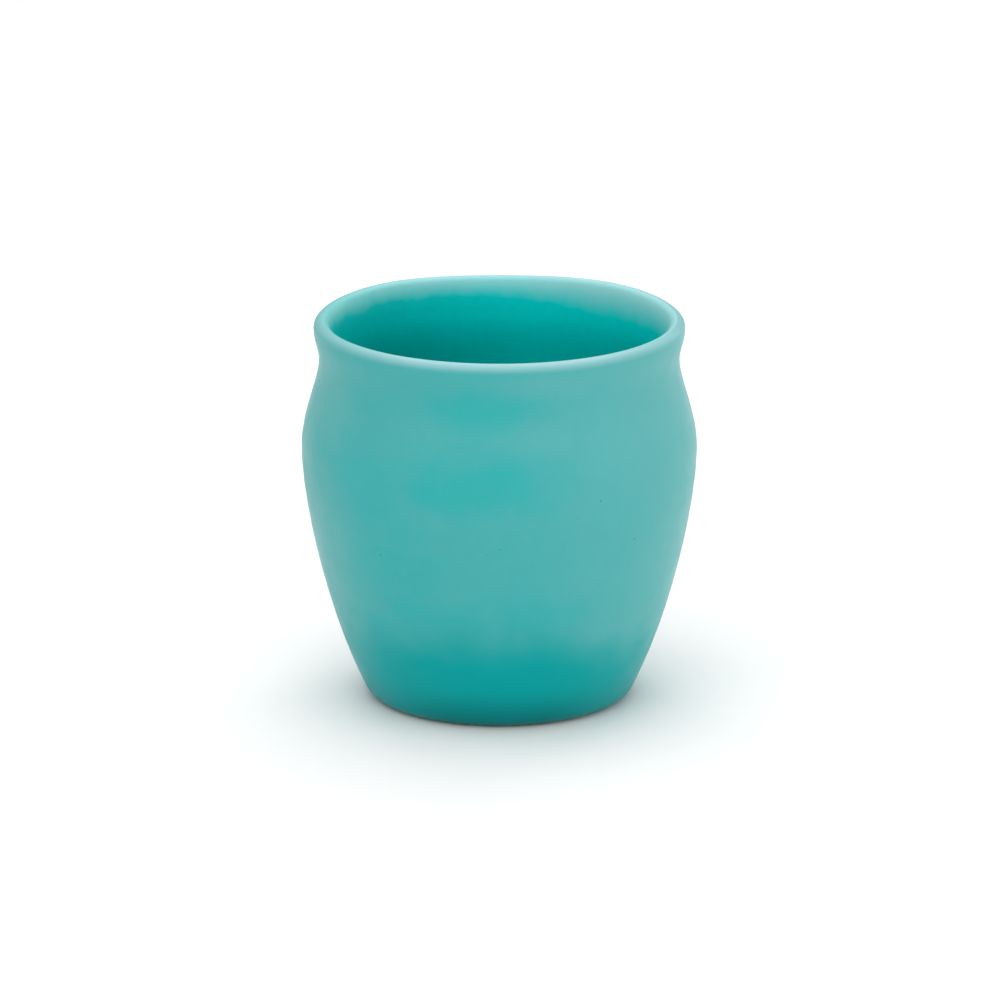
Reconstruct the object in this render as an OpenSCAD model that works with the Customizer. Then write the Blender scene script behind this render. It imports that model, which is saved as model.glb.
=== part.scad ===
// Handleless vase-shaped cup: one fired clay body that carries three coats of glaze.
// +Z is up, and the origin lies on the table under the middle of the cup. Lengths are in millimetres.
// The sizes of the foot and the wall are those of the bare clay, and the glaze lies on top of it.

/* [Foot] */
// Outer radius of the flat ring that the cup stands on
foot_r = 23; // [18:0.5:30]
// Width of that ring
ring_w = 4; // [2:0.5:8]
// Radius of the ring's inner edge
ring_edge = 0.4; // [0.2:0.1:0.5]
// Depth of the well inside the ring
well_depth = 1.2; // [0.7:0.1:3]
// Radius of the rounded edge between the ring and the flank
foot_round = 4.8; // [1.5:0.1:6]
// Lean of the flank where it leaves the foot, in degrees from upright
foot_lean = 25.5; // [10:0.5:40]

/* [Wall] */
// Outside radius at the belly, the widest place
belly_r = 39.7; // [34:0.1:50]
// Height of the belly above the table
belly_rise = 52.2; // [35:0.1:75]
// Outside radius at the neck, the narrow place under the rim
neck_r = 36.1; // [30:0.1:45]
// Height of the neck above the belly
neck_rise = 18.2; // [10:0.1:30]
// How far the rim stands out past the neck
rim_flare = 1.1; // [0:0.1:2.5]
// Height of the rim above the neck
rim_rise = 8; // [5:0.1:15]
// Radius of the round lip on top of the rim
lip_round = 1.3; // [1:0.1:1.6]
// Lean of the face that falls from the lip to the inside, in degrees from level
lip_lean = 60; // [30:1:80]
// Thickness of the wall
wall = 2.6; // [2:0.1:4]
// Thickness of the floor
floor_t = 4; // [3:0.1:7]
// Radius of the corner between the floor and the wall, inside the cup
floor_round = 10; // [5:0.5:14]

/* [Curves] */
// Share of the flank's height over which it keeps its lean
flank_low = 0.36; // [0.2:0.01:0.5]
// Share of the flank's height over which it stands upright below the belly
flank_high = 0.22; // [0.1:0.01:0.4]
// Share of the shoulder's height over which it stands upright above the belly
shoulder_low = 0.37; // [0.2:0.01:0.5]
// Share of the shoulder's height over which it stands upright below the neck
shoulder_high = 0.26; // [0.2:0.01:0.5]
// Share of the flare's height over which it stands upright at the neck, and at the rim
flare_end = 0.38; // [0.2:0.01:0.5]
// Share of the inner lip's height over which it keeps its lean
lip_high = 0.2; // [0.1:0.01:0.4]
// Share of the inner lip's height over which it stands upright above the neck
lip_low = 0.5; // [0.2:0.01:0.5]

/* [Glaze] */
// Thickness of each coat
glaze_t = 0.3; // [0.2:0.05:0.5]
// Height above the table at which the outer coat stops
glaze_gap = 0.2; // [0.1:0.05:0.6]
// Bare margin around the coat in the well
well_margin = 1; // [0.5:0.1:3]

/* [Hidden] */
$fn = 96;

// Fineness of the outlines: degrees to a step on an arc, and steps on a curve
arc_step = 7.5;
curve_steps = 20;

clay_colour = [0.90, 0.86, 0.79];
glaze_colour = [0.27, 0.70, 0.70];
liner_colour = [0.04, 0.64, 0.62];

up = [0, 1];
well_r = foot_r - ring_w;
floor_z = well_depth + floor_t;

// Places on the outside of the clay, as [radius, height], from the foot up to the lip
foot_centre = [foot_r, foot_round];
flank_start = foot_centre + foot_round * [cos(foot_lean), -sin(foot_lean)];
belly = [belly_r, belly_rise];
neck = belly + [neck_r - belly_r, neck_rise];
lip_centre = neck + [rim_flare - lip_round, rim_rise - lip_round];
lip_start = lip_centre + [lip_round, 0];

// Places on the inside of the clay, from the lip down to the neck
lip_end = lip_centre + lip_round * [-sin(lip_lean), cos(lip_lean)];
inner_neck = neck - [wall, 0];

// The four curves of the wall, each given by its two ends and the handles between them
flank_h = belly.y - flank_start.y;
flank = [
    flank_start,
    flank_start + flank_low * flank_h * [sin(foot_lean), cos(foot_lean)],
    belly - flank_high * flank_h * up,
    belly
];
shoulder = [
    belly,
    belly + shoulder_low * neck_rise * up,
    neck - shoulder_high * neck_rise * up,
    neck
];
flare_h = lip_start.y - neck.y;
flare = [
    neck,
    neck + flare_end * flare_h * up,
    lip_start - flare_end * flare_h * up,
    lip_start
];
inner_lip_h = lip_end.y - inner_neck.y;
inner_lip = [
    lip_end,
    lip_end - lip_high * inner_lip_h * [cos(lip_lean), sin(lip_lean)],
    inner_neck + lip_low * inner_lip_h * up,
    inner_neck
];

// A path is a list of stations: a point on the clay's surface, and the unit normal out of the clay.
function tail(list) = [for (i = [1 : len(list) - 1]) list[i]];
function backwards(list) = [for (i = [len(list) - 1 : -1 : 0]) list[i]];
function surface_points(path) = [for (s = path) s[0]];

// Outline of a coat of glaze that lies on a path
function coat(path) = concat(surface_points(path), [for (s = backwards(path)) s[0] + glaze_t * s[1]]);

// Round edge of the clay, turning about a centre from one angle to another
function edge(centre, r, from, to) =
    let (n = ceil(abs(to - from) / arc_step))
    [for (i = [0 : n])
        let (a = from + (to - from) * i / n, out = [cos(a), sin(a)])
        [centre + r * out, out]];

// Hollow corner of the clay, which turns about a centre in the open
function hollow(centre, r, from, to) = [for (s = edge(centre, r, from, to)) [s[0], -s[1]]];

// Station at a share of the way along a cubic curve
function station(curve, share) =
    let (
        t = share,
        u = 1 - share,
        point = u^3 * curve[0] + 3 * u^2 * t * curve[1] + 3 * u * t^2 * curve[2] + t^3 * curve[3],
        along = u^2 * (curve[1] - curve[0]) + 2 * u * t * (curve[2] - curve[1]) + t^2 * (curve[3] - curve[2]),
        out = [along.y, -along.x] / norm(along)
    )
    [point, out];

// Path along a cubic curve, from a share of the way to its end
function run(curve, from = 0) =
    [for (i = [0 : curve_steps]) station(curve, from + (1 - from) * i / curve_steps)];

// The same stretch of wall seen from inside the cup, and so from its top down
function inner_face(path) = [for (s = backwards(path)) [s[0] - wall * s[1], -s[1]]];

// Centre of the floor's round corner, where that corner leaves the wall at a share of the flank
function corner_centre(share) =
    let (s = station(flank, share))
    s[0] - (wall + floor_round) * s[1];

// Share of the flank at which that corner just reaches down to the floor, found by halving
function corner_share(low = 0, high = 1, halvings = 40) =
    let (middle = (low + high) / 2)
    halvings == 0 ? middle
    : corner_centre(middle).y - floor_round > floor_z ? corner_share(low, middle, halvings - 1)
    : corner_share(middle, high, halvings - 1);

// The outside runs from where the outer coat stops up to the rim's crest.
glaze_stop = asin((glaze_gap - foot_round) / (foot_round + glaze_t));
outside = concat(
    edge(foot_centre, foot_round, glaze_stop, -foot_lean),
    tail(run(flank)),
    tail(run(shoulder)),
    tail(run(flare)),
    tail(edge(lip_centre, lip_round, 0, 90))
);

// The inside runs from the rim's crest down to the middle of the floor.
corner_at = corner_share();
corner_normal = station(flank, corner_at)[1];
corner_from = atan2(corner_normal.y, corner_normal.x);
inside = concat(
    edge(lip_centre, lip_round, 90, 90 + lip_lean),
    tail(run(inner_lip)),
    tail(inner_face(run(shoulder))),
    tail(inner_face(run(flank, corner_at))),
    tail(hollow(corner_centre(corner_at), floor_round, corner_from, -90)),
    [[[0, floor_z], up]]
);

// The underside runs from the middle of the well out to where the outer coat stops.
underside = concat(
    [[0, well_depth], [well_r, well_depth]],
    surface_points(edge([well_r + ring_edge, ring_edge], ring_edge, 180, 270)),
    surface_points(edge(foot_centre, foot_round, -90, glaze_stop))
);

// Fired clay: foot ring, floor, flank, belly, neck and rim in one piece
module clay_body() {
    color(clay_colour)
        rotate_extrude()
            polygon(concat(underside, tail(surface_points(outside)), tail(surface_points(inside))));
}

// Coat on the outside, from just above the table to the rim's crest
module outer_glaze() {
    color(glaze_colour)
        rotate_extrude()
            polygon(coat(outside));
}

// Coat on the inside, from the rim's crest to the middle of the floor
module liner_glaze() {
    color(liner_colour)
        rotate_extrude()
            polygon(coat(inside));
}

// Coat on the roof of the well, clear of the bare ring
module well_glaze() {
    color(glaze_colour)
        translate([0, 0, well_depth - glaze_t])
            cylinder(r = well_r - well_margin, h = glaze_t);
}

clay_body();
outer_glaze();
liner_glaze();
well_glaze();
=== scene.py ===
"""Looks of the handleless vase-shaped cup: fired clay under coats of teal glaze, on a pale floor."""

import math

import bpy
import numpy as np
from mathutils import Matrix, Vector


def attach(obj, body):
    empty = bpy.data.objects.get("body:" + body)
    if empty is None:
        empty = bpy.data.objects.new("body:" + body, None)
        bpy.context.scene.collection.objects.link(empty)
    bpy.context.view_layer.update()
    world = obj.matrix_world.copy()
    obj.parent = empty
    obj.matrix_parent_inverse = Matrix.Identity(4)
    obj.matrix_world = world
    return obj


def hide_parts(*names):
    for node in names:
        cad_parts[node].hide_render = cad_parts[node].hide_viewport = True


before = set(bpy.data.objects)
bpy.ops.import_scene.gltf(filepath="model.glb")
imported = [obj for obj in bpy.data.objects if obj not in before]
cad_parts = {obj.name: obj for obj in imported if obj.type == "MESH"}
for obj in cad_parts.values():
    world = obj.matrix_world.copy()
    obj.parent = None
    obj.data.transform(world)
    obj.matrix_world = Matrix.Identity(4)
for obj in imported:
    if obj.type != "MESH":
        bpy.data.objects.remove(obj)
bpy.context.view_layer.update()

MM = 0.001
UP = np.array([0.0, 1.0])

# Sizes of the bare clay, in millimetres and degrees, as the solids have them
FOOT_R = 23
RING_W = 4
RING_EDGE = 0.4
WELL_DEPTH = 1.2
FOOT_ROUND = 4.8
FOOT_LEAN = 25.5
BELLY_R = 39.7
BELLY_RISE = 52.2
NECK_R = 36.1
NECK_RISE = 18.2
RIM_FLARE = 1.1
RIM_RISE = 8
WALL = 2.6
FLOOR_T = 4
FLOOR_ROUND = 10
LIP_ROUND = 1.3
LIP_LEAN = 60

# Shares of each curve's height over which it keeps its direction at its start and at its end
FLANK_ENDS = (0.36, 0.22)
SHOULDER_ENDS = (0.37, 0.26)
FLARE_ENDS = (0.38, 0.38)
LIP_ENDS = (0.2, 0.5)

# Coats of glaze: thickness, height at which the outer one stops, and bare margin in the well
GLAZE_T = 0.3
GLAZE_GAP = 0.2
WELL_MARGIN = 1

# A coat thins towards a free edge over this distance, to this share of its thickness
THIN_EDGE = 0.9
THIN_SHARE = 0.15

# The rim's waver: a dip at the front, and at the back a dip between two low crests
RIM_DIP = 0.25
RIM_SWAY = 0.3
RIM_SWAY_WAVES = 4
RIM_SWAY_FOCUS = 1.5
# Depth below the crest to which the waver reaches, and radii over which it fades in
RIM_SWAY_REACH = 22
RIM_SWAY_RADII = (15, 30)

# Throwing rings on the wall: pitch, depth, and a strength that swings about a mean as the height grows
RING_PITCH = 4.6
RING_DEPTH = 0.02
RING_MEAN = 0.6
RING_SWING = 0.4
RING_SWING_LENGTH = 7.3
RING_SWING_START = 0.9

# Unevenness of the wall: depth, and each wave's count around the cup, start, height per radian and share
UNEVEN = 0.05
UNEVEN_WAVES = [(2, 0.6, 31, 1.0), (3, 2.1, -17, 0.6)]

# Heights and radii over which rings and unevenness fade in, and depths below the crest where they fade out
MARKS_LOW = (4, 14)
MARKS_RADII = (8, 20)
MARKS_TOP = (9, 2)

# Fineness of the meshes: vertices around, steps along each stretch of the outline, and rings in the well
AROUND = 224
STEPS = {
    "well_roof": 16,
    "well_side": 2,
    "ring_edge": 6,
    "ring": 4,
    "foot_under": 6,
    "foot": 14,
    "flank": 96,
    "shoulder": 36,
    "flare": 16,
    "lip": 16,
    "lip_inside": 10,
    "inner_lip": 28,
    "inner_flank": 72,
    "floor_corner": 24,
    "floor": 24,
}
WELL_RINGS = 40
# Edges that turn by more degrees than this are shaded as sharp
SHARP_ANGLE = 40

# Limits of the arithmetic: where the halving of a share stops, and the shortest normal
SHARE_LIMIT = 1e-9
SHORTEST = 1e-12

# Pinholes in the glaze: turn from the front in degrees, height and radius in millimetres
PINHOLES = [
    (30.2, 50.0, 0.22),
    (23.0, 47.1, 0.14),
    (43.8, 40.3, 0.20),
    (-38.2, 37.6, 0.20),
    (-38.8, 39.0, 0.13),
    (0.2, 41.2, 0.15),
    (-3.7, 40.1, 0.13),
    (28.5, 21.6, 0.13),
    (-24.2, 62.0, 0.14),
]
# Shares of its radius at which a pinhole starts to fade and ends, and how dark it is
PINHOLE_FADE = (0.4, 1.3)
PINHOLE_DEPTH = 0.55

# Pools, deeper coat and painted dark reflections: turn in degrees, height, half width and half height, and
# strength
POOLS_AND_DARK_REFLECTIONS = [
    (-5, 69.0, 17, 6.0, 0.30),
    (-4, 54.0, 25, 9.0, 0.36),
    (-40, 50.0, 16, 10.0, 0.20),
    (-34, 36.0, 16, 16.0, 0.20),
    (-27, 26.0, 18, 6.5, 0.30),
    (-40, 21.5, 10, 5.0, 0.20),
    (4, 29.0, 14, 5.0, 0.12),
    (15, 26.0, 15, 5.5, 0.24),
    (-112, 58.0, 22, 7.0, 0.35),
    (-150, 34.0, 18, 12.0, 0.25),
    (96, 46.0, 20, 9.0, 0.30),
    (152, 66.0, 24, 6.0, 0.35),
    (178, 44.0, 20, 8.0, 0.25),
]
# Thin patches, where it is paler, partly thinner glaze and partly painted sheen, given in the same way
THIN_AND_SHEEN_PATCHES = [
    (12, 73.5, 14, 4.0, 0.05),
    (12, 63.5, 15, 5.0, 0.045),
    (-28, 63.5, 14, 6.0, 0.03),
    (-64, 66.0, 16, 12.0, 0.09),
    (-70, 38.0, 20, 16.0, 0.06),
    (68, 36.0, 16, 14.0, 0.05),
    (128, 54.0, 20, 7.0, 0.06),
    (-172, 58.0, 20, 6.0, 0.06),
]
# Half depth of a patch through the wall, shares of its reach where it fades, and raggedness of its edge
PATCH_DEPTH = 30
PATCH_FADE = (0.1, 1.0)
PATCH_RAGGED = 0.2

# Colours of the outer coat, several with painted light: over the rim, thin, at large, in pools, above the
# foot and along it
# Pale rim: worn thin glaze and a painted highlight
OUTER_LIP_WEAR_AND_HIGHLIGHT = (0.39, 0.61, 0.64, 1)
# Thin glaze and painted sheen
OUTER_THIN_AND_SHEEN = (0.46, 0.62, 0.65, 1)
OUTER_BODY = (0.095, 0.42, 0.415, 1)
# Deeper glaze in pools, and painted dark reflections
OUTER_POOL_AND_DARK_REFLECTION = (0.009, 0.425, 0.42, 1)
# Gathered glaze above the foot with a painted reflection of the floor's shadow
OUTER_DEEP_AND_REFLECTED_SHADOW = (0.0, 0.355, 0.355, 1)
# Painted shade along the foot
OUTER_FOOT_PAINTED_SHADE = (0.0, 0.21, 0.21, 1)
# Colours of the liner under the lip, with painted light, at large and where it is deep and painted in
# shade, and of a pinhole
# Under the lip inside: thin glaze and painted light
LINER_THIN_AND_LIT = (0.385, 0.66, 0.675, 1)
LINER_BODY = (0.0, 0.71, 0.695, 1)
# Deep glaze and painted shade lower down inside
LINER_DEEP_AND_SHADE = (0.0, 0.44, 0.42, 1)
PINHOLE_SHADE = (0.004, 0.05, 0.05, 1)

# Satin finish of the glaze: gloss, range of roughness, and strength and height of its fine ripple
GLAZE_IOR = 1.28
GLOSS_TINT = (0.25, 1.0, 1.0, 1)
GLAZE_ROUGH = (0.34, 0.42)
RIPPLE_STRENGTH = 0.25
RIPPLE_HEIGHT = 0.02

# Noise in the glaze: size in millimetres, detail, and for soft steps the range on each side of its middle
RIPPLE_NOISE = (1.6, 2.0)
ROUGH_NOISE = (5, 2.0, 0.2)
EDGE_NOISE = (9, 1.0, 0.25)
LIP_PALE_NOISE = (5, 2.0, 0.25)
NOISE_MIDDLE = 0.5

# Mottling of the glaze: size, detail and strength of its layers, and the scale that draws out the bands
CLOUDS = (11, 3.0, 0.14)
BANDS = (3.2, 2.0, 0.12)
GRAIN = (1.6, 3.0, 0.28)
BAND_STRETCH = (0.12, 0.12, 1.0)

# Soft changes across the glaze give two places in millimetres, and the level at each, which may be a length

# The band above the foot, gathered glaze and a painted reflection of the floor's shadow, by height, and how
# much lower it lies towards each side
DEEP_BAND_AND_REFLECTED_SHADOW = (27, 13, 0.0, 1.0)
DEEP_BAND_LOWER_RIGHT = (4, 26, 0.0, 4.0)
DEEP_BAND_LOWER_LEFT = (-14, -28, 0.0, 2.0)
# How far a raggedness of 1 moves the edge of that band
DEEP_BAND_WANDER = 8
# Painted shade along the foot, by height, and by distance from the cup's middle plane
FOOT_SHADE_HEIGHT = (10, 1, 0.0, 1.0)
FOOT_SHADE_ASIDE = (8, 24, 1.0, 0.3)
# The pale rim, worn glaze and a painted highlight: its depth below the crest, and its strength by distance
# from the middle plane
RIM_WEAR_AND_HIGHLIGHT = 2.3
RIM_HIGHLIGHT_ASIDE = (14, 36, 0.9, 0.5)
# Painted sheen on one side of the outside, across the cup and by height
PAINTED_SHEEN_SIDE = (0, 30, 0.0, 0.11)
PAINTED_SHEEN_SIDE_HEIGHT = (40, 62, 0.55, 1.0)
# Painted shade inside with the deeper glaze, by height and across the cup
LINER_SHADE_LOW = (72, 56, 0.0, 0.45)
LINER_SHADE_SIDE = (12, -32, 0.0, 0.6)
# The pale band under the lip inside, thin glaze and painted light, across the cup: its length, the
# raggedness of its edge and its strength
LIP_PALE_REACH = (-16, 28, 3.8, 6.3)
LIP_PALE_RAGGED = (-30, 0, 0.2, 0.08)
LIP_PALE_STRENGTH = (-34, -8, 0.55, 0.9)

# Bare clay: colours, noise of its clouds, grain and specks, and range of roughness
CLAY_DARK = (0.62, 0.55, 0.44, 1)
CLAY_LIGHT = (0.74, 0.68, 0.57, 1)
CLAY_SPECK = (0.30, 0.22, 0.15, 1)
CLAY_CLOUDS = (6, 3.0)
CLAY_GRAIN = (0.35, 3.0, 0.65)
CLAY_SPECKS = (0.8, 1.0)
CLAY_ROUGH = (0.72, 0.9)
# Levels of noise where a speck appears, strength of the specks, and range, strength and height of the grain
SPECK_FADE = (0.66, 0.72)
SPECK_STRENGTH = 0.5
GRAIN_RANGE = (0.2, 0.8)
GRAIN_STRENGTH = 0.5
GRAIN_HEIGHT = 0.05

# The photograph's camera: distance, degrees that it looks down, and height of the point that it looks at
CAMERA_DISTANCE = 1.5
CAMERA_RISE = 15.866
CAMERA_AIM = 40.4 * MM
# Its lens and the place of the cup's axis, in pixels of the picture, and the sensor's width in millimetres
PICTURE = 1000
FOCAL_PIXELS = 7386
AXIS_PIXEL = 499.4
SENSOR_WIDTH = 36

# The stage: a pale floor that the light turns white away from the cup's shadow, and even light all around
FLOOR_SIZE = 8.0
FLOOR_COLOUR = (0.97, 0.945, 0.945, 1)
WORLD_COLOUR = (1, 1, 1, 1)
WORLD_LEVEL = 0.22

# Softboxes: distance, and each one's turn and rise in degrees, width and height in metres, and level
SOFTBOX_DISTANCE = 1.3
SOFTBOXES = {
    "top_box": (0, 88, 1.2, 1.2, 1.75),
    "top_left_box": (-90, 60, 1.0, 0.8, 0.85),
    "front_box": (-10, 33, 2.0, 0.6, 1.9),
    "front_high_box": (0, 62, 1.4, 0.6, 0.5),
    "back_box": (175, 50, 1.4, 0.6, 2.3),
    "left_panel": (-108, 14, 1.2, 0.6, 0.25),
    "right_panel": (70, 14, 1.2, 0.5, 1.5),
    "far_right_panel": (125, 14, 1.2, 0.5, 1.6),
}


# A path is a pair of arrays: points of an outline, as radius and height, and the normals out of the clay
def arc(centre, radius, start, end, count):
    """Round edge of the clay about a centre, between two angles in degrees."""
    angles = np.radians(np.linspace(start, end, count + 1))
    out = np.stack([np.cos(angles), np.sin(angles)], axis=1)
    return centre + radius * out, out


def hollow(centre, radius, start, end, count):
    """Hollow corner of the clay about a centre in the open."""
    points, out = arc(centre, radius, start, end, count)
    return points, -out


def line(start, end, out, count):
    """Straight stretch with one normal."""
    share = np.linspace(0, 1, count + 1)[:, None]
    points = (1 - share) * np.array(start, float) + share * np.array(end, float)
    return points, np.tile(np.array(out, float), (count + 1, 1))


def handles(start, start_way, end, end_way, ends):
    """Ends and handles of a cubic curve that leaves and arrives in the given directions."""
    tall = abs(end[1] - start[1])
    return start, start + ends[0] * tall * start_way, end - ends[1] * tall * end_way, end


def curve(four, count, begin=0.0):
    """Cubic curve from a share of the way to its end."""
    a, b, c, d = four
    t = np.linspace(begin, 1, count + 1)[:, None]
    u = 1 - t
    points = u**3 * a + 3 * u**2 * t * b + 3 * u * t**2 * c + t**3 * d
    along = u**2 * (b - a) + 2 * u * t * (c - b) + t**2 * (d - c)
    out = np.stack([along[:, 1], -along[:, 0]], axis=1)
    return points, out / np.linalg.norm(out, axis=1, keepdims=True)


def inner_face(path):
    """The same stretch of wall seen from inside the cup, from its top down."""
    points, out = path
    return (points - WALL * out)[::-1], -out[::-1]


def chain(*paths):
    """Paths joined end to end, without doubled points."""
    points = [paths[0][0]] + [path[0][1:] for path in paths[1:]]
    normals = [paths[0][1]] + [path[1][1:] for path in paths[1:]]
    return np.concatenate(points), np.concatenate(normals)


# Places on the outline of the clay
LEAN = math.radians(FOOT_LEAN)
FOOT_CENTRE = np.array([FOOT_R, FOOT_ROUND])
FLANK_START = FOOT_CENTRE + FOOT_ROUND * np.array([math.cos(LEAN), -math.sin(LEAN)])
BELLY = np.array([BELLY_R, BELLY_RISE])
NECK = np.array([NECK_R, BELLY_RISE + NECK_RISE])
LIP_CENTRE = NECK + np.array([RIM_FLARE - LIP_ROUND, RIM_RISE - LIP_ROUND])
LIP_START = LIP_CENTRE + np.array([LIP_ROUND, 0])
LIP_TURN = math.radians(LIP_LEAN)
LIP_END = LIP_CENTRE + LIP_ROUND * np.array([-math.sin(LIP_TURN), math.cos(LIP_TURN)])
INNER_NECK = NECK - np.array([WALL, 0])
FLOOR_Z = WELL_DEPTH + FLOOR_T
WELL_R = FOOT_R - RING_W
CREST_Z = LIP_CENTRE[1] + LIP_ROUND + GLAZE_T
GLAZE_STOP = math.degrees(math.asin((GLAZE_GAP - FOOT_ROUND) / (FOOT_ROUND + GLAZE_T)))

# The four curves of the wall
FLANK_WAY = np.array([math.sin(LEAN), math.cos(LEAN)])
FLANK = handles(FLANK_START, FLANK_WAY, BELLY, UP, FLANK_ENDS)
SHOULDER = handles(BELLY, UP, NECK, UP, SHOULDER_ENDS)
FLARE = handles(NECK, UP, LIP_START, UP, FLARE_ENDS)
LIP_WAY = np.array([-math.cos(LIP_TURN), -math.sin(LIP_TURN)])
INNER_LIP = handles(LIP_END, LIP_WAY, INNER_NECK, -UP, LIP_ENDS)


def floor_corner(share):
    """Centre of the floor corner that leaves the wall at a share of the flank, and the wall's normal."""
    points, out = curve(FLANK, 1, share)
    return points[0] - (WALL + FLOOR_ROUND) * out[0], out[0]


def floor_corner_share():
    """Share of the flank at which that corner just reaches the floor, found by halving."""
    low, high = 0.0, 1.0
    while high - low > SHARE_LIMIT:
        middle = (low + high) / 2
        above = floor_corner(middle)[0][1] - FLOOR_ROUND > FLOOR_Z
        low, high = (low, middle) if above else (middle, high)
    return low


def outside_path():
    """From where the outer coat stops up to the rim's crest."""
    return chain(
        arc(FOOT_CENTRE, FOOT_ROUND, GLAZE_STOP, -FOOT_LEAN, STEPS["foot"]),
        curve(FLANK, STEPS["flank"]),
        curve(SHOULDER, STEPS["shoulder"]),
        curve(FLARE, STEPS["flare"]),
        arc(LIP_CENTRE, LIP_ROUND, 0, 90, STEPS["lip"]),
    )


def inside_path():
    """From the rim's crest down to the middle of the floor."""
    share = floor_corner_share()
    centre, out = floor_corner(share)
    wall_angle = math.degrees(math.atan2(out[1], out[0]))
    return chain(
        arc(LIP_CENTRE, LIP_ROUND, 90, 90 + LIP_LEAN, STEPS["lip_inside"]),
        curve(INNER_LIP, STEPS["inner_lip"]),
        inner_face(curve(SHOULDER, STEPS["shoulder"])),
        inner_face(curve(FLANK, STEPS["inner_flank"], share)),
        hollow(centre, FLOOR_ROUND, wall_angle, -90, STEPS["floor_corner"]),
        line((centre[0], FLOOR_Z), (0, FLOOR_Z), UP, STEPS["floor"]),
    )


def underside_path():
    """From the middle of the well, down over the ring, to where the outer coat stops."""
    ring_corner = np.array([WELL_R + RING_EDGE, RING_EDGE])
    return chain(
        line((0, WELL_DEPTH), (WELL_R, WELL_DEPTH), -UP, STEPS["well_roof"]),
        line((WELL_R, WELL_DEPTH), (WELL_R, RING_EDGE), (-1, 0), STEPS["well_side"]),
        arc(ring_corner, RING_EDGE, 180, 270, STEPS["ring_edge"]),
        line((ring_corner[0], 0), (FOOT_R, 0), -UP, STEPS["ring"]),
        arc(FOOT_CENTRE, FOOT_ROUND, -90, GLAZE_STOP, STEPS["foot_under"]),
    )


def soft_step(low, high, value):
    """0 below low and 1 above high, with a soft step between."""
    share = np.clip((value - low) / (high - low), 0, 1)
    return share * share * (3 - 2 * share)


def spin(points):
    """Grid (points, around, xyz): an outline spun about the axis, with the marks of the hand."""
    turn = np.linspace(0, 2 * math.pi, AROUND, endpoint=False)[None, :]
    radius = points[:, :1]
    height = points[:, 1:]
    from_back = turn - math.pi / 2

    on_wall = soft_step(*MARKS_LOW, height) * soft_step(*MARKS_RADII, radius)
    on_wall = on_wall * (1 - soft_step(CREST_Z - MARKS_TOP[0], CREST_Z - MARKS_TOP[1], height))
    strength = RING_MEAN + RING_SWING * np.sin(height / RING_SWING_LENGTH + RING_SWING_START)
    rings = strength * np.sin(2 * math.pi * height / RING_PITCH - turn)
    slow = 0.0
    for count, start, rise, share in UNEVEN_WAVES:
        slow = slow + share * np.sin(count * turn + start + height / rise)
    wide = radius + on_wall * (RING_DEPTH * rings + UNEVEN * slow)

    near_rim = soft_step(CREST_Z - RIM_SWAY_REACH, CREST_Z, height) * soft_step(*RIM_SWAY_RADII, radius)
    at_back = ((1 + np.cos(from_back)) / 2) ** RIM_SWAY_FOCUS
    at_front = ((1 - np.cos(from_back)) / 2) ** RIM_SWAY_FOCUS
    dip = RIM_SWAY * at_back * np.cos(RIM_SWAY_WAVES * from_back) + RIM_DIP * at_front
    high = height - near_rim * dip
    return np.stack([wide * np.cos(turn), wide * np.sin(turn), high], axis=2)


def spun_normals(grid):
    """Normals of a spun grid, from the differences between its neighbours."""
    along = np.gradient(grid, axis=0)
    around = np.roll(grid, -1, axis=1) - np.roll(grid, 1, axis=1)
    out = np.cross(around, along)
    size = np.linalg.norm(out, axis=2, keepdims=True)
    return out / np.maximum(size, SHORTEST)


def ring_mesh(name, rings, poles, normals=None):
    """Closed mesh through rings in order, whose ends close at two poles on the axis or join each other."""
    rows = len(rings)
    here = np.arange(AROUND)
    there = (here + 1) % AROUND
    faces = []
    for row in range(rows if poles is None else rows - 1):
        low = row * AROUND
        high = (row + 1) % rows * AROUND
        faces += np.stack([low + here, low + there, high + there, high + here], axis=1).tolist()
    points = rings.reshape(-1, 3)
    if poles is not None:
        first = len(points)
        last = (rows - 1) * AROUND
        faces += [[first, there[k], here[k]] for k in range(AROUND)]
        faces += [[last + here[k], last + there[k], first + 1] for k in range(AROUND)]
        points = np.concatenate([points, [[0, 0, poles[0]], [0, 0, poles[1]]]])
    mesh = bpy.data.meshes.new(name)
    mesh.from_pydata((points * MM).tolist(), [], [[int(i) for i in face] for face in faces])
    mesh.update()
    mesh.shade_smooth()
    if normals is not None:
        mesh.normals_split_custom_set_from_vertices(normals.tolist())
    return mesh


def piece(mesh, material, node):
    """Shown object that stands for a CAD node."""
    mesh.materials.append(material)
    obj = bpy.data.objects.new(mesh.name, mesh)
    bpy.context.scene.collection.objects.link(obj)
    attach(obj, "root")
    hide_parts(node)


def clay_mesh():
    """The fired clay: underside, outside and inside in one closed mesh."""
    points, _ = chain(underside_path(), outside_path(), inside_path())
    mesh = ring_mesh("fired_clay", spin(points[1:-1]), (points[0][1], points[-1][1]))
    mesh.set_sharp_from_angle(angle=math.radians(SHARP_ANGLE))
    return mesh


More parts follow.
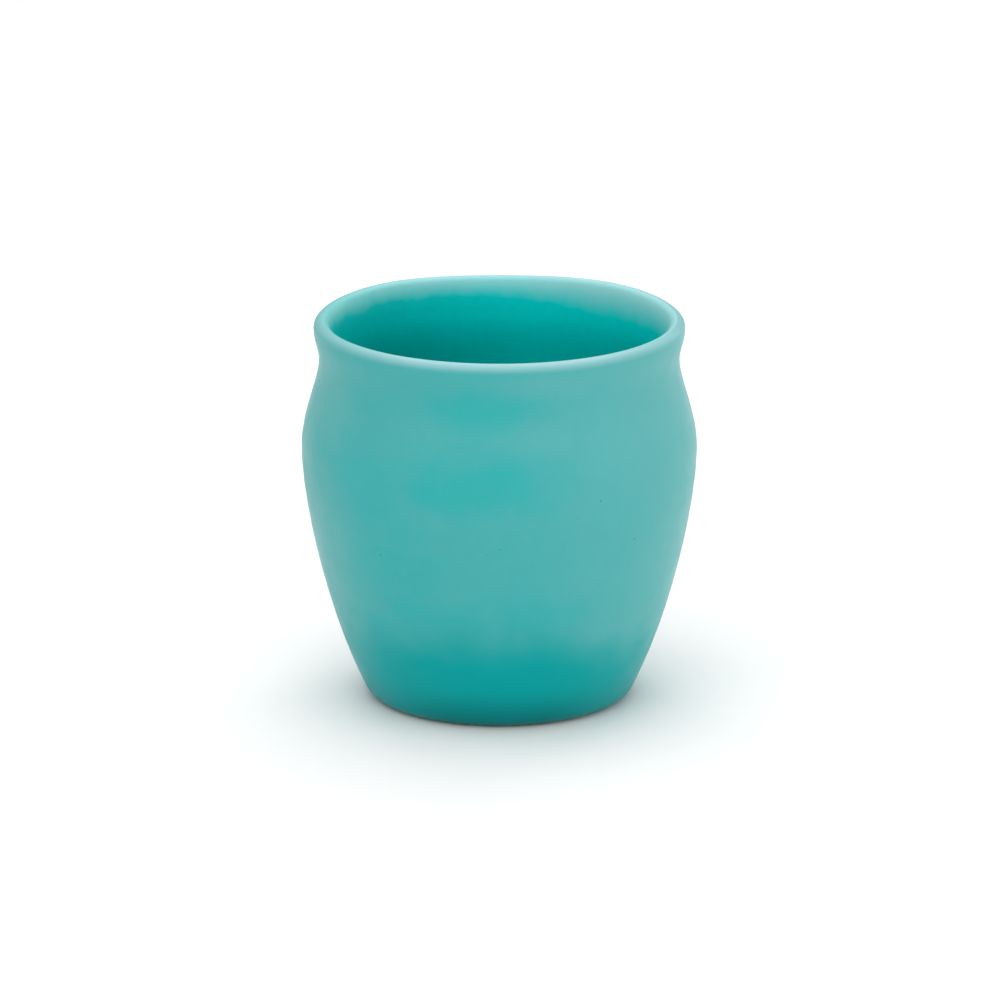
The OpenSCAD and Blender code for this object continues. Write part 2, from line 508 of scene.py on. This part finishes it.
def wall_coat_meshes():
    """The outer coat and the liner, cut from one skin at the rim's crest so that it shades as one there."""
    outside = outside_path()
    points, out = chain(outside, inside_path())
    crest = len(outside[0]) - 1
    run = np.concatenate([[0], np.cumsum(np.linalg.norm(np.diff(points, axis=0), axis=1))])
    bulge = np.sqrt(1 - (1 - np.clip(run / THIN_EDGE, 0, 1)) ** 2)
    thick = GLAZE_T * (THIN_SHARE + (1 - THIN_SHARE) * bulge)
    skin = spin(points + thick[:, None] * out)
    clay = spin(points)
    normals = spun_normals(skin)

    rings = np.concatenate([clay[crest::-1], skin[:crest + 1]])
    ring_normals = np.concatenate([-normals[crest::-1], normals[:crest + 1]])
    outer = ring_mesh("outer_coat", rings, None, ring_normals.reshape(-1, 3))

    rings = np.concatenate([clay[-2:crest - 1:-1], skin[crest:-1]])
    ring_normals = np.concatenate([-normals[-2:crest - 1:-1], normals[crest:-1]]).reshape(-1, 3)
    ring_normals = np.concatenate([ring_normals, [[0, 0, -1], [0, 0, 1]]])
    liner = ring_mesh("liner_coat", rings, (FLOOR_Z, FLOOR_Z + GLAZE_T), ring_normals)
    return outer, liner


def well_coat_mesh():
    """The coat on the roof of the well, thin at its edge."""
    reach = WELL_R - WELL_MARGIN
    radius = reach * np.sqrt(np.linspace(0, 1, WELL_RINGS + 1))[1:]
    thick = GLAZE_T * np.sqrt(np.clip((reach - radius) / THIN_EDGE, THIN_SHARE**2, 1))
    roof = np.stack([radius, np.full_like(radius, WELL_DEPTH)], axis=1)
    under = np.stack([radius, WELL_DEPTH - thick], axis=1)
    rings = spin(np.concatenate([under, roof[::-1]]))
    mesh = ring_mesh("well_coat", rings, (WELL_DEPTH - GLAZE_T, WELL_DEPTH))
    mesh.set_sharp_from_angle(angle=math.radians(SHARP_ANGLE))
    return mesh


class Nodes:
    """Short calls that add nodes to a material or to the world."""

    def __init__(self, tree):
        self.tree = tree
        tree.nodes.clear()

    def put(self, socket, value):
        """Link a socket to another, or set it to a constant."""
        if isinstance(value, bpy.types.NodeSocket):
            self.tree.links.new(value, socket)
        else:
            socket.default_value = value

    def add(self, kind, inputs=None, **settings):
        """Node of a kind, with its settings and inputs."""
        made = self.tree.nodes.new(kind)
        for name, value in settings.items():
            setattr(made, name, value)
        for name, value in (inputs or {}).items():
            self.put(made.inputs[name], value)
        return made

    def place(self):
        """Place on the object, in metres."""
        return self.add("ShaderNodeTexCoord").outputs["Object"]

    def axes(self, place):
        """The X, Y and Z of a place."""
        return self.add("ShaderNodeSeparateXYZ", {"Vector": place}).outputs

    def math(self, operation, first, second, limit=False):
        """Result of an operation on two numbers, limited to 0 to 1 on request."""
        inputs = {0: first, 1: second}
        return self.add("ShaderNodeMath", inputs, operation=operation, use_clamp=limit).outputs[0]

    def step(self, value, low, high, to_low=0.0, to_high=1.0):
        """Soft step of a value between two limits."""
        limits = {"Value": value, "From Min": low, "From Max": high, "To Min": to_low, "To Max": to_high}
        return self.add("ShaderNodeMapRange", limits, interpolation_type="SMOOTHSTEP").outputs[0]

    def fade(self, value, change, unit=1.0):
        """Soft change of a level between two places in millimetres, with the levels in a unit."""
        start, end, first, last = change
        return self.step(value, start * MM, end * MM, first * unit, last * unit)

    def noise(self, place, size, detail=2.0, rough=0.5):
        """Noise from 0 to 1 whose features are about as wide as the given size, in millimetres."""
        inputs = {"Vector": place, "Scale": 1 / (size * MM), "Detail": detail, "Roughness": rough}
        return self.add("ShaderNodeTexNoise", inputs).outputs["Fac"]

    def uneven(self, place, kind, low, high):
        """Noise of a kind that runs softly from low to high."""
        size, detail, used = kind
        noise = self.noise(place, size, detail)
        return self.step(noise, NOISE_MIDDLE - used, NOISE_MIDDLE + used, low, high)

    def bump(self, height, strength, depth):
        """Normals of a surface that rises by a height from 0 to 1 times a depth in millimetres."""
        inputs = {"Height": height, "Strength": strength, "Distance": depth * MM}
        return self.add("ShaderNodeBump", inputs).outputs["Normal"]

    def mix(self, share, first, second):
        """Colour between two colours."""
        made = self.add("ShaderNodeMix", data_type="RGBA")
        for name, value in (("Factor_Float", share), ("A_Color", first), ("B_Color", second)):
            self.put(next(socket for socket in made.inputs if socket.identifier == name), value)
        return next(socket for socket in made.outputs if socket.identifier == "Result_Color")

    def surface(self, finish):
        """Show the surface with this finish."""
        shader = self.add("ShaderNodeBsdfPrincipled", finish)
        self.add("ShaderNodeOutputMaterial", {"Surface": shader.outputs["BSDF"]})


def new_material(name):
    """Empty material, and the calls that fill it."""
    material = bpy.data.materials.new(name)
    material.use_nodes = True
    return material, Nodes(material.node_tree)


def outside_place(turn, height):
    """Place on the glazed outside, in metres, at a turn from the front and a height in millimetres."""
    points, out = outside_path()
    skin = points + GLAZE_T * out
    radius = np.interp(height, skin[:, 1], skin[:, 0])
    side = math.radians(turn)
    return Vector((radius * math.sin(side), -radius * math.cos(side), height)) * MM


def pinhole_share(nodes, place):
    """1 inside a pinhole and 0 outside it, with soft edges."""
    core, rim = PINHOLE_FADE
    total = 0.0
    for turn, height, size in PINHOLES:
        ends = {0: place, 1: outside_place(turn, height)}
        reach = nodes.add("ShaderNodeVectorMath", ends, operation="DISTANCE").outputs["Value"]
        hole = nodes.step(reach, core * size * MM, rim * size * MM, 1.0, 0.0)
        total = nodes.math("MAXIMUM", hole, total)
    return total


def patch_share(nodes, place, patches, ragged):
    """Sum of the patches' strengths, soft and ragged at their edges."""
    total = 0.0
    for turn, height, half_width, half_height, strength in patches:
        patch = {
            "Vector": place,
            "Location": outside_place(turn, height),
            "Rotation": (0, 0, math.radians(turn)),
            "Scale": (half_width * MM, PATCH_DEPTH * MM, half_height * MM),
        }
        local = nodes.add("ShaderNodeMapping", patch, vector_type="TEXTURE").outputs["Vector"]
        reach = nodes.add("ShaderNodeVectorMath", {0: local}, operation="LENGTH").outputs["Value"]
        reach = nodes.math("ADD", reach, ragged)
        total = nodes.math("ADD", nodes.step(reach, *PATCH_FADE, strength, 0.0), total)
    return total


def mottle(nodes, place):
    """Uneven depth of the glaze: slow clouds, level bands and fine grain."""
    level = nodes.add("ShaderNodeMapping", {"Vector": place, "Scale": BAND_STRETCH}).outputs["Vector"]
    total = 0.0
    for where, (size, detail, strength) in ((place, CLOUDS), (level, BANDS), (place, GRAIN)):
        layer = nodes.math("MULTIPLY", nodes.noise(where, size, detail), strength)
        total = nodes.math("ADD", total, layer)
    return total


def satin(nodes, place, colour):
    """Finish the material as a satin glaze of a colour."""
    nodes.surface({
        "Base Color": colour,
        "Roughness": nodes.uneven(place, ROUGH_NOISE, *GLAZE_ROUGH),
        "IOR": GLAZE_IOR,
        "Specular Tint": GLOSS_TINT,
        "Normal": nodes.bump(nodes.noise(place, *RIPPLE_NOISE), RIPPLE_STRENGTH, RIPPLE_HEIGHT),
    })


def outer_glaze():
    """Teal glaze of the outside: pale over the rim with a painted highlight, painted sheen on one side,
    deep in pools with painted dark reflections, a painted reflection of the floor's shadow above the foot
    and painted shade along it.
    """
    material, nodes = new_material("teal_glaze")
    place = nodes.place()
    axes = nodes.axes(place)
    aside = nodes.math("ABSOLUTE", axes["X"], 0.0)
    ragged = nodes.uneven(place, EDGE_NOISE, -PATCH_RAGGED, PATCH_RAGGED)

    # The band above the foot: gathered glaze and a painted reflection of the floor's shadow, lower towards
    # the sides
    lower_right = nodes.fade(axes["X"], DEEP_BAND_LOWER_RIGHT, MM)
    lower_left = nodes.fade(axes["X"], DEEP_BAND_LOWER_LEFT, MM)
    lowered = nodes.math("ADD", lower_right, lower_left)
    wander = nodes.math("MULTIPLY", ragged, DEEP_BAND_WANDER * MM)
    height = nodes.math("ADD", nodes.math("ADD", axes["Z"], wander), lowered)
    deep_band_and_reflected_shadow = nodes.fade(height, DEEP_BAND_AND_REFLECTED_SHADOW)
    # Pools: partly deeper glaze, partly painted dark reflections on the front
    depth = nodes.math("ADD", mottle(nodes, place), patch_share(nodes, place, POOLS_AND_DARK_REFLECTIONS, ragged), limit=True)
    colour = nodes.mix(depth, OUTER_BODY, OUTER_POOL_AND_DARK_REFLECTION)
    colour = nodes.mix(deep_band_and_reflected_shadow, colour, OUTER_DEEP_AND_REFLECTED_SHADOW)
    # Painted shade along the foot, weaker towards the sides
    foot_shade = nodes.fade(axes["Z"], FOOT_SHADE_HEIGHT)
    foot_shade = nodes.math("MULTIPLY", foot_shade, nodes.fade(aside, FOOT_SHADE_ASIDE))
    colour = nodes.mix(foot_shade, colour, OUTER_FOOT_PAINTED_SHADE)

    # Painted sheen on one side, weaker lower down, and patches of thin glaze and painted sheen
    painted_sheen_side = nodes.fade(axes["X"], PAINTED_SHEEN_SIDE)
    painted_sheen_side = nodes.math("MULTIPLY", painted_sheen_side, nodes.fade(axes["Z"], PAINTED_SHEEN_SIDE_HEIGHT))
    thin_and_sheen = nodes.math("ADD", painted_sheen_side, patch_share(nodes, place, THIN_AND_SHEEN_PATCHES, ragged))
    thin_and_sheen = nodes.math("MULTIPLY", thin_and_sheen, nodes.math("SUBTRACT", 1.0, deep_band_and_reflected_shadow))
    colour = nodes.mix(thin_and_sheen, colour, OUTER_THIN_AND_SHEEN)
    # Paler rim: worn thin glaze and a painted highlight, strongest at the front and back
    lip_thin_and_painted_light = nodes.step(axes["Z"], (CREST_Z - RIM_WEAR_AND_HIGHLIGHT) * MM, CREST_Z * MM)
    lip_thin_and_painted_light = nodes.math("MULTIPLY", lip_thin_and_painted_light, nodes.fade(aside, RIM_HIGHLIGHT_ASIDE))
    colour = nodes.mix(lip_thin_and_painted_light, colour, OUTER_LIP_WEAR_AND_HIGHLIGHT)
    holes = nodes.math("MULTIPLY", pinhole_share(nodes, place), PINHOLE_DEPTH)
    satin(nodes, place, nodes.mix(holes, colour, PINHOLE_SHADE))
    return material


def liner_glaze():
    """Teal glaze of the inside: pale under the lip with painted light, and painted shade lower down and
    towards one side.
    """
    material, nodes = new_material("teal_liner")
    place = nodes.place()
    axes = nodes.axes(place)

    # Painted shade: darker lower down and towards one side
    liner_shade = nodes.math("ADD", nodes.fade(axes["Z"], LINER_SHADE_LOW), nodes.fade(axes["X"], LINER_SHADE_SIDE))
    depth = nodes.math("ADD", liner_shade, mottle(nodes, place), limit=True)
    colour = nodes.mix(depth, LINER_BODY, LINER_DEEP_AND_SHADE)

    # Pale band under the lip: thin glaze with painted light, wider and stronger towards one side
    below = nodes.math("SUBTRACT", CREST_Z * MM, axes["Z"])
    ripple = nodes.uneven(place, LIP_PALE_NOISE, -1.0, 1.0)
    ripple = nodes.math("MULTIPLY", ripple, nodes.fade(axes["X"], LIP_PALE_RAGGED))
    run = nodes.math("MULTIPLY", nodes.fade(axes["X"], LIP_PALE_REACH, MM), nodes.math("ADD", 1.0, ripple))
    lip_thin_and_painted_light = nodes.math("SUBTRACT", 1.0, nodes.math("DIVIDE", below, run), limit=True)
    lip_thin_and_painted_light = nodes.math("MULTIPLY", lip_thin_and_painted_light, nodes.fade(axes["X"], LIP_PALE_STRENGTH))
    satin(nodes, place, nodes.mix(lip_thin_and_painted_light, colour, LINER_THIN_AND_LIT))
    return material


def bare_clay():
    """Unglazed fired clay: buff, dry and fine grained, with a few darker grains."""
    material, nodes = new_material("buff_clay")
    place = nodes.place()
    grain = nodes.noise(place, *CLAY_GRAIN)
    colour = nodes.mix(nodes.noise(place, *CLAY_CLOUDS), CLAY_DARK, CLAY_LIGHT)
    specks = nodes.step(nodes.noise(place, *CLAY_SPECKS), *SPECK_FADE)
    colour = nodes.mix(nodes.math("MULTIPLY", specks, SPECK_STRENGTH), colour, CLAY_SPECK)
    nodes.surface({
        "Base Color": colour,
        "Roughness": nodes.step(grain, *GRAIN_RANGE, *CLAY_ROUGH),
        "Normal": nodes.bump(grain, GRAIN_STRENGTH, GRAIN_HEIGHT),
    })
    return material


def build_cup():
    """The clay and its three coats, each in the place of its solid."""
    inside_glaze = liner_glaze()
    outer, liner = wall_coat_meshes()
    piece(clay_mesh(), bare_clay(), "clay_body")
    piece(outer, outer_glaze(), "outer_glaze")
    piece(liner, inside_glaze, "liner_glaze")
    piece(well_coat_mesh(), inside_glaze, "well_glaze")


def build_floor():
    """Flat matt floor under the cup."""
    half = FLOOR_SIZE / 2
    corners = [(-half, -half, 0), (half, -half, 0), (half, half, 0), (-half, half, 0)]
    mesh = bpy.data.meshes.new("floor")
    mesh.from_pydata(corners, [], [(0, 1, 2, 3)])
    material, nodes = new_material("pale_floor")
    matt = nodes.add("ShaderNodeBsdfDiffuse", {"Color": FLOOR_COLOUR})
    nodes.add("ShaderNodeOutputMaterial", {"Surface": matt.outputs["BSDF"]})
    mesh.materials.append(material)
    floor = bpy.data.objects.new("floor", mesh)
    bpy.context.scene.collection.objects.link(floor)


def build_world():
    """Even light from all around."""
    world = bpy.data.worlds.new("studio")
    world.use_nodes = True
    bpy.context.scene.world = world
    nodes = Nodes(world.node_tree)
    background = nodes.add("ShaderNodeBackground", {"Color": WORLD_COLOUR, "Strength": WORLD_LEVEL})
    nodes.add("ShaderNodeOutputWorld", {"Surface": background.outputs["Background"]})


def around_cup(turn, rise, distance):
    """Place at a turn from the front and a rise, in degrees, from the point that the camera looks at."""
    side, high = math.radians(turn), math.radians(rise)
    way = Vector((math.sin(side) * math.cos(high), -math.cos(side) * math.cos(high), math.sin(high)))
    return Vector((0, 0, CAMERA_AIM)) + distance * way, way


def build_softboxes():
    """Softboxes that face the cup, with a power that keeps each one's level whatever its size."""
    for name, (turn, rise, width, tall, level) in SOFTBOXES.items():
        light = bpy.data.lights.new(name, "AREA")
        light.shape = "RECTANGLE"
        light.size = width
        light.size_y = tall
        light.energy = level * math.pi * width * tall
        lamp = bpy.data.objects.new(name, light)
        place, way = around_cup(turn, rise, SOFTBOX_DISTANCE)
        lamp.location = place
        lamp.rotation_euler = way.to_track_quat("Z", "Y").to_euler()
        bpy.context.scene.collection.objects.link(lamp)


def build_camera():
    """Camera at the photograph's viewing angle."""
    data = bpy.data.cameras.new("camera")
    data.sensor_width = SENSOR_WIDTH
    data.lens = data.sensor_width * FOCAL_PIXELS / PICTURE
    data.shift_x = (PICTURE / 2 - AXIS_PIXEL) / PICTURE
    camera = bpy.data.objects.new("camera", data)
    place, way = around_cup(0, CAMERA_RISE, CAMERA_DISTANCE)
    camera.location = place
    camera.rotation_euler = way.to_track_quat("Z", "Y").to_euler()
    bpy.context.scene.collection.objects.link(camera)
    bpy.context.scene.camera = camera


build_camera()
build_cup()
build_floor()
build_world()
build_softboxes()
bpy.context.scene.view_settings.view_transform = "Standard"
